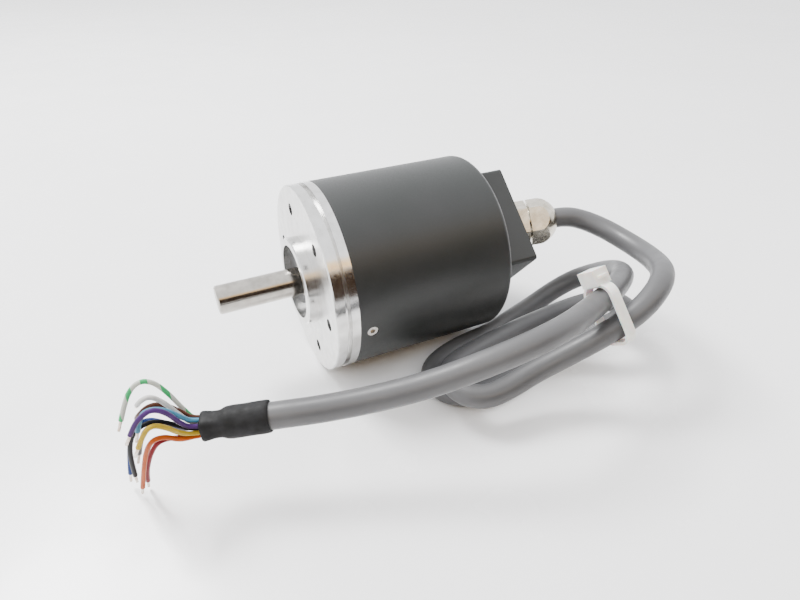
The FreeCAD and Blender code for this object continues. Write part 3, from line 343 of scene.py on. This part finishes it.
def turned_metal(name, light, dark, rough_side, rough_face, pitch, depth, anisotropic):
    """Metal off a lathe: rings on its faces, finer rings and a higher shine on its cylinders."""
    made = slot_material(name, light, 1.0, rough_side, Anisotropic=anisotropic)
    mottled(made, light, dark, 260)
    face = spread(made, facing_axis(made), 0.6, 0.95, rough_side, rough_face)
    marks = spread(made, mottle(made, 900), 0.3, 0.7, -0.03, 0.05)
    roughness_from(made, sums(made, "ADD", face, marks, True))
    rings = sums(made, "ADD", ripple(made, from_axis(made), pitch, 0.0004),
                 ripple(made, axis_of(made, "X"), pitch * 0.6, 0.0002))
    bump(made, rings, 0.35, depth)
    grain(made, 500, 0.1, 0.00002, 2.0)
    tangent = add_node(made, "ShaderNodeTangent", direction_type="RADIAL", axis="X")
    wire_up(made, tangent.outputs[0], shader_of(made).inputs["Tangent"])


# Light and dark tone, roughness of its cylinders and of its faces, the rings' pitch and depth, anisotropy.
TURNED_METALS = {
    "aluminium_turned": ((0.74, 0.735, 0.725), (0.62, 0.615, 0.60), 0.13, 0.30, 0.00042, 0.0000035, 0.5),
    "aluminium_plain": ((0.80, 0.80, 0.80), (0.70, 0.70, 0.70), 0.25, 0.35, 0.0003, 0.000003, 0.5),
    "stainless_shaft": ((0.44, 0.415, 0.38), (0.34, 0.32, 0.29), 0.16, 0.32, 0.00022, 0.0000014, 0.2),
    "bearing_steel": ((0.72, 0.72, 0.72), (0.66, 0.66, 0.66), 0.08, 0.15, 0.0003, 0.000001, 0.2),
    "shield_steel": ((0.55, 0.55, 0.55), (0.46, 0.46, 0.46), 0.28, 0.35, 0.0004, 0.000002, 0.3),
    "spring_steel": ((0.20, 0.20, 0.21), (0.13, 0.13, 0.13), 0.32, 0.40, 0.0004, 0.000002, 0.2),
    "screw_steel": ((0.62, 0.60, 0.57), (0.48, 0.46, 0.43), 0.24, 0.34, 0.0003, 0.000002, 0.2),
}


def cage_brass():
    made = slot_material("cage_brass", (0.62, 0.44, 0.18), 1.0, 0.3)
    mottled(made, (0.66, 0.48, 0.21), (0.52, 0.36, 0.13), 400)
    grain(made, 1200, 0.2, 0.00002)


def gland_nickel():
    made = slot_material("gland_nickel", (0.58, 0.54, 0.46), 1.0, 0.2)
    mottled(made, (0.62, 0.58, 0.50), (0.46, 0.42, 0.34), 330)
    uneven_gloss(made, 700, 0.15, 0.30)
    grain(made, 1500, 0.15, 0.00002)


def housing_coat():
    """Powder coat: a fine orange-peel skin over charcoal grey, with a painted highlight: a lighter band
    along the rear rim edge for its grazing-angle glint.
    """
    rim_highlight_start, rim_highlight_middle, rim_highlight_end = 0.0610, 0.0617, 0.0622
    rim_highlight_inside, rim_highlight_outside = 0.0290, 0.0300
    made = slot_material("housing_coat", (0.032, 0.033, 0.034), 0.0, 0.42)
    coat = patches(made, 45, (0.010, 0.012, 0.011), (0.014, 0.015, 0.015), detail=2.0)
    fleck = spread(made, mottle(made, 5200, 2.0), 0.55, 0.75, 0, 0.35)
    coat = blend_colours(made, fleck, coat, (0.032, 0.033, 0.034))
    along = axis_of(made, "X")
    # Painted highlight: a thin band round the housing's rear edge, broken up by noise, is painted lighter
    # grey where that edge catches grazing light.
    painted_rim_highlight = sums(made, "MULTIPLY", spread(made, along, rim_highlight_start, rim_highlight_middle, 0, 1),
               spread(made, along, rim_highlight_middle, rim_highlight_end, 1, 0))
    painted_rim_highlight = sums(made, "MULTIPLY", painted_rim_highlight, spread(made, from_axis(made), rim_highlight_inside, rim_highlight_outside, 0, 1))
    painted_rim_highlight = sums(made, "MULTIPLY", painted_rim_highlight, spread(made, mottle(made, 420, 4.0), 0.35, 0.7, 0.15, 0.8))
    colour_from(made, blend_colours(made, painted_rim_highlight, coat, (0.16, 0.16, 0.165)))
    uneven_gloss(made, 2400, 0.36, 0.50, 2.0)
    grain(made, 2600, 0.35, 0.00004, 2.5)
    grain(made, 700, 0.15, 0.00004, 2.0)


def seal_rubber():
    made = slot_material("seal_rubber", (0.018, 0.018, 0.019), 0.0, 0.55)
    mottled(made, (0.024, 0.024, 0.025), (0.012, 0.012, 0.012), 800)
    grain(made, 2500, 0.3, 0.00003)
    bump(made, ripple(made, from_axis(made), 0.0009, 0.0001), 0.3, 0.00003)


def disc_glass():
    """Glass with dark rings of lines."""
    made = slot_material("disc_glass", (0.86, 0.90, 0.90), 0.0, 0.05, Transmission_Weight=0.8, IOR=1.5)
    lines = spread(made, ripple(made, from_axis(made), 0.0011), 0.2, 0.3, 0, 1)
    colour_from(made, blend_colours(made, lines, (0.86, 0.90, 0.90), (0.30, 0.32, 0.33)))
    grain(made, 200, 0.02, 0.00001)


def black_plastic():
    made = slot_material("black_plastic", (0.02, 0.02, 0.02), 0.0, 0.45)
    mottled(made, (0.028, 0.028, 0.028), (0.016, 0.016, 0.016), 500)
    grain(made, 3000, 0.25, 0.00003)


def led_lens():
    made = slot_material("led_lens", (0.40, 0.06, 0.09), 0.0, 0.12, Transmission_Weight=0.4)
    mottled(made, (0.42, 0.07, 0.10), (0.34, 0.05, 0.08), 500)


def board_green():
    """Solder mask over raised tracks."""
    made = slot_material("board_green", (0.02, 0.16, 0.06), 0.0, 0.3)
    tracks = spread(made, ripple(made, axis_of(made, "Y"), 0.0025, 0.004, 120), 0.55, 0.7, 0, 1)
    colour_from(made, blend_colours(made, tracks, (0.015, 0.13, 0.05), (0.03, 0.22, 0.09)))
    bump(made, tracks, 0.2, 0.00004)


def connector_white():
    made = slot_material("connector_white", (0.78, 0.76, 0.68), 0.0, 0.4)
    mottled(made, (0.80, 0.78, 0.70), (0.70, 0.68, 0.60), 300)
    grain(made, 2000, 0.15, 0.00003)


def gland_nylon():
    made = slot_material("gland_nylon", (0.05, 0.05, 0.05), 0.0, 0.4)
    mottled(made, (0.06, 0.06, 0.06), (0.035, 0.035, 0.035), 500)
    grain(made, 1800, 0.2, 0.00003)


def cable_jacket():
    """Grey vinyl of slightly uneven tone, with small lighter scuffs."""
    made = slot_material("cable_jacket", (0.082, 0.082, 0.084), 0.0, 0.46, Specular_IOR_Level=0.45)
    jacket = patches(made, 38, (0.072, 0.072, 0.075), (0.091, 0.091, 0.093), 0.3, 0.7)
    scuffs = spread(made, mottle(made, 620, 5.0, roughness=0.7), 0.62, 0.78, 0, 0.5)
    colour_from(made, blend_colours(made, scuffs, jacket, (0.12, 0.12, 0.12)))
    uneven_gloss(made, 240, 0.33, 0.50, 4.0)
    grain(made, 420, 0.22, 0.00012)
    grain(made, 3200, 0.2, 0.00003, 2.0)


def shrink_black():
    made = slot_material("shrink_black", (0.007, 0.007, 0.008), 0.0, 0.6, Specular_IOR_Level=0.18)
    mottled(made, (0.012, 0.012, 0.013), (0.006, 0.006, 0.006), 300)
    uneven_gloss(made, 500, 0.55, 0.70)
    grain(made, 300, 0.35, 0.0002)
    grain(made, 2400, 0.2, 0.00004, 2.0)


def nylon_natural():
    made = slot_material("nylon_natural", (0.82, 0.81, 0.76), 0.0, 0.34,
                         Subsurface_Weight=0.35, Subsurface_Scale=0.002)
    mottled(made, (0.86, 0.85, 0.81), (0.76, 0.75, 0.69), 260)
    grain(made, 1200, 0.12, 0.00003)


def tinned_copper():
    """Fine strands, tinned unevenly."""
    made = slot_material("tinned_copper", (0.72, 0.68, 0.62), 1.0, 0.28)
    mottled(made, (0.78, 0.75, 0.70), (0.52, 0.40, 0.30), 1400)
    strands = ripple(made, sums(made, "ADD", axis_of(made, "Z"), axis_of(made, "Y")), 0.0004)
    bump(made, strands, 0.5, 0.00004)


WIRE_COLOURS = {
    "black": (0.004, 0.004, 0.005), "blue": (0.006, 0.028, 0.160), "brown": (0.080, 0.026, 0.014),
    "grey": (0.170, 0.175, 0.180), "light_blue": (0.060, 0.220, 0.340), "orange": (0.420, 0.075, 0.003),
    "red": (0.190, 0.003, 0.007), "violet": (0.055, 0.018, 0.110), "white": (0.560, 0.560, 0.540),
    "white_green": (0.460, 0.480, 0.430), "yellow": (0.400, 0.270, 0.015),
}
STRIPE_GREEN = (0.030, 0.330, 0.110)


def insulation(wire_name, wire_colour):
    """Thin coloured plastic; the white and green conductor has green bands."""
    made = slot_material(f"insulation_{wire_name}", wire_colour, 0.0, 0.42, Specular_IOR_Level=0.15)
    if wire_name == "white_green":
        stripe = spread(made, ripple(made, axis_of(made, "X"), 0.0042), 0.25, 0.40, 0, 1)
        colour_from(made, blend_colours(made, stripe, wire_colour, STRIPE_GREEN))
    else:
        mottled(made, wire_colour, tuple(0.78 * part for part in wire_colour), 350)
    grain(made, 1500, 0.15, 0.00003)


for metal, look in TURNED_METALS.items():
    turned_metal(metal, *look)
cage_brass()
gland_nickel()
housing_coat()
seal_rubber()
disc_glass()
black_plastic()
led_lens()
board_green()
connector_white()
gland_nylon()
cable_jacket()
shrink_black()
nylon_natural()
tinned_copper()
for wire_name, wire_colour in WIRE_COLOURS.items():
    insulation(wire_name, wire_colour)

for entry in frame["record"]["subparts"]:
    for material_slot in bpy.data.objects[entry["node"]].material_slots:
        material_slot.material = MATERIALS[entry["material_slot"]]

# ------------------------------------------------------------------ pieces in general


def line_curve(name, points, radius, slot, resolution, sides):
    """A round cord whose centreline is one NURBS spline with these control points."""
    data = bpy.data.curves.new(name, "CURVE")
    data.dimensions = "3D"
    spline = data.splines.new("NURBS")
    spline.points.add(len(points) - 1)
    for control, point in zip(spline.points, points):
        control.co = (*point, 1)
    spline.order_u = 3
    spline.use_endpoint_u = True
    spline.resolution_u = resolution
    data.bevel_depth = radius
    data.bevel_resolution = sides
    data.use_fill_caps = True
    data.materials.append(MATERIALS[slot])
    return link(bpy.data.objects.new(name, data))


def rings_skin(build, rings):
    """Faces between rings of as many points each."""
    for before, after in zip(rings, rings[1:]):
        steps = len(before)
        for step in range(steps):
            other = (step + 1) % steps
            build.faces.new((before[step], before[other], after[other], after[step]))


def mesh_piece(name, build, slot):
    """The built mesh as a smooth piece of one material that rides on the encoder's body."""
    bmesh.ops.recalc_face_normals(build, faces=build.faces)
    mesh = bpy.data.meshes.new(name)
    build.to_mesh(mesh)
    build.free()
    mesh.polygons.foreach_set("use_smooth", [True] * len(mesh.polygons))
    mesh.materials.append(MATERIALS[slot])
    piece = link(bpy.data.objects.new(name, mesh))
    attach(piece, BODY)
    return piece


# ------------------------------------------------------------------ shrunk sleeve

SLEEVE_START = Vector(CABLE_ROUTE[-2])
SLEEVE_AXIS = (Vector(CABLE_ROUTE[-1]) - SLEEVE_START).normalized()
SLEEVE_STEPS = 56
GRIP_START = 0.0105
GRIP_RUN = 0.004

# Distance along the sleeve and radius: in at the wires' end, round the outside and into the cable's end.
SLEEVE_PROFILE = [
    (0.0112, 0.00290), (0.0112, 0.00300), (0.0176, 0.00305), (0.0180, 0.00330), (0.0180, 0.00372),
    (0.0176, 0.00392), (0.0168, 0.00388), (0.0158, 0.00372), (0.0148, 0.00358), (0.0138, 0.00356),
    (0.0130, 0.00364), (0.0124, 0.00384), (0.0118, 0.00412), (0.0112, 0.00430), (0.0104, 0.00440),
    (0.0090, 0.00443), (0.0075, 0.00442), (0.0060, 0.00444), (0.0045, 0.00443), (0.0030, 0.00444),
    (0.0018, 0.00444), (0.0008, 0.00443), (0.0002, 0.00436), (0.0, 0.00424), (0.0, 0.00392),
    (0.0002, 0.00384), (0.0015, 0.00378),
]


def along_sleeve():
    """Matrix whose X runs along the sleeve and whose Z is as near up as it can be."""
    up = Vector((0, 0, 1))
    above = (up - SLEEVE_AXIS * up.dot(SLEEVE_AXIS)).normalized()
    return frame_of(SLEEVE_START, SLEEVE_AXIS, above.cross(SLEEVE_AXIS), above)


def sleeve_wobble(along, turn):
    """Heat-shrunk tubing: small dents, and soft folds where it grips the wires."""
    reach = Vector((along * 260, math.cos(turn) * 1.6, math.sin(turn) * 1.6))
    dents = noise.noise(reach) * 0.00012
    grip = max(0.0, min(1.0, (along - GRIP_START) / GRIP_RUN))
    folds = grip * 0.00022 * math.cos(5 * turn + 1.1 + along * 60)
    return dents + folds


def shrunk_sleeve():
    build = bmesh.new()
    matrix = along_sleeve()
    rings = []
    for along, radius in SLEEVE_PROFILE:
        ring = []
        for step in range(SLEEVE_STEPS):
            turn = 2 * math.pi * step / SLEEVE_STEPS
            reach = radius + sleeve_wobble(along, turn)
            place_at = Vector((along, reach * math.cos(turn), reach * math.sin(turn)))
            ring.append(build.verts.new(matrix @ place_at))
        rings.append(ring)
    rings_skin(build, rings)
    return mesh_piece("shrunk_sleeve", build, "shrink_black")


sleeve = shrunk_sleeve()
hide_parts("shrink_sleeve")

# ------------------------------------------------------------------ cable and conductors

cable = line_curve("cable_line", CABLE_ROUTE, CABLE_RADIUS, "cable_jacket", 16, 9)
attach(cable, BODY)
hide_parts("cable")

for wire_name, route in WIRES.items():
    strand = line_curve(f"strand_{wire_name}", route, WIRE_RADIUS, f"insulation_{wire_name}", 12, 4)
    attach(strand, BODY)
    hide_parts(f"wire_{wire_name}")

# ------------------------------------------------------------------ threads in the face holes

HOLE_COUNT = 6
HOLE_CIRCLE = 0.0238
FIRST_HOLE = 8  # degrees from Y
THREAD_START = 0.0006
THREAD_END = 0.0076
THREAD_CREST = 0.00178
THREAD_ROOT = 0.00198
THREAD_PITCH = 0.0007
THREAD_STEPS = 24
ROWS_PER_TURN = 4


def thread_ring(build, y, z):
    """The inside of a tapped hole: ridges that climb round it."""
    run = THREAD_END - THREAD_START
    rows = int(round(run / THREAD_PITCH)) * ROWS_PER_TURN
    rings = []
    for row in range(rows + 1):
        along = THREAD_START + run * row / rows
        ring = []
        for step in range(THREAD_STEPS):
            turn = 2 * math.pi * step / THREAD_STEPS
            phase = (row / ROWS_PER_TURN + step / THREAD_STEPS) % 1.0
            reach = THREAD_CREST + (THREAD_ROOT - THREAD_CREST) * abs(2 * phase - 1)
            ring.append(build.verts.new((along, y + reach * math.cos(turn), z + reach * math.sin(turn))))
        rings.append(ring)
    rings_skin(build, rings)


def face_threads():
    build = bmesh.new()
    for index in range(HOLE_COUNT):
        turn = math.radians(FIRST_HOLE + 360 / HOLE_COUNT * index)
        thread_ring(build, HOLE_CIRCLE * math.cos(turn), HOLE_CIRCLE * math.sin(turn))
    # The threads cut in the aluminium flange get the dark spring steel finish: painted shade that makes
    # the inside of the face holes read dark.
    mesh_piece("face_threads", build, "spring_steel")


face_threads()

# ------------------------------------------------------------------ floor and light

FLOOR_REACH = 2.2


def plain_floor():
    made = new_material("floor_white", (0.93, 0.935, 0.945), 0.0, 0.22, Specular_IOR_Level=0.5)
    mottled(made, (0.94, 0.945, 0.955), (0.91, 0.915, 0.925), 6)
    uneven_gloss(made, 40, 0.18, 0.30, 4.0)
    mesh = bpy.data.meshes.new("floor")
    corners = [(FLOOR_REACH * x, FLOOR_REACH * y, FLOOR) for x, y in ((-1, -1), (1, -1), (1, 1), (-1, 1))]
    mesh.from_pydata(corners, [], [(0, 1, 2, 3)])
    mesh.materials.append(made)
    return link(bpy.data.objects.new("floor", mesh))


def soft_box(name, place_at, aim, size, watts, colour=(1, 1, 1)):
    """A square area light that faces a point."""
    data = bpy.data.lights.new(name, "AREA")
    data.shape = "RECTANGLE"
    data.size = size
    data.size_y = size
    data.energy = watts
    data.color = colour
    lamp = link(bpy.data.objects.new(name, data))
    lamp.location = place_at
    lamp.rotation_euler = (Vector(aim) - Vector(place_at)).to_track_quat("-Z", "Y").to_euler()


ROOM_WHITE = (0.90, 0.91, 0.93)
STRIP_BROWN = (0.028, 0.017, 0.011)
GLOW_GOLD = (1.10, 0.74, 0.36)
ROOM_STRENGTH = 2.5


def room():
    """Bright even room; the dim warm strip and the gold glow on its -Y side only show in reflections."""
    world = bpy.data.worlds.new("room")
    world.use_nodes = True
    split = add_node(world, "ShaderNodeSeparateXYZ")
    wire_up(world, add_node(world, "ShaderNodeTexCoord").outputs["Generated"], split.inputs[0])

    def ramp(axis, low, high, new_low, new_high):
        return spread(world, split.outputs[axis], low, high, new_low, new_high, "SMOOTHSTEP")

    def band(rise_from, rise_to, fall_from, fall_to):
        """1 between two heights on the -Y side, 0 elsewhere."""
        above = ramp("Z", rise_from, rise_to, 0, 1)
        below = ramp("Z", fall_from, fall_to, 1, 0)
        return sums(world, "MULTIPLY", sums(world, "MULTIPLY", above, below), ramp("Y", -0.35, -0.6, 0, 1))

    colour = blend_colours(world, band(-0.12, 0.0, 0.48, 0.60), ROOM_WHITE, STRIP_BROWN)
    colour = blend_colours(world, band(0.52, 0.58, 0.64, 0.72), colour, GLOW_GOLD)
    seen = add_node(world, "ShaderNodeLightPath").outputs["Is Camera Ray"]
    colour = blend_colours(world, seen, colour, ROOM_WHITE)
    shader = world.node_tree.nodes["Background"]
    wire_up(world, colour, shader.inputs["Color"])
    shader.inputs["Strength"].default_value = ROOM_STRENGTH
    return world


plain_floor()
soft_box("key", (-0.30, 0.50, 0.80), (0.02, -0.01, 0), 0.35, 20.0)
soft_box("fill", (-0.9, -0.35, 0.7), (0, 0, 0), 0.8, 4.0, (1.0, 0.97, 0.93))
bpy.context.scene.world = room()
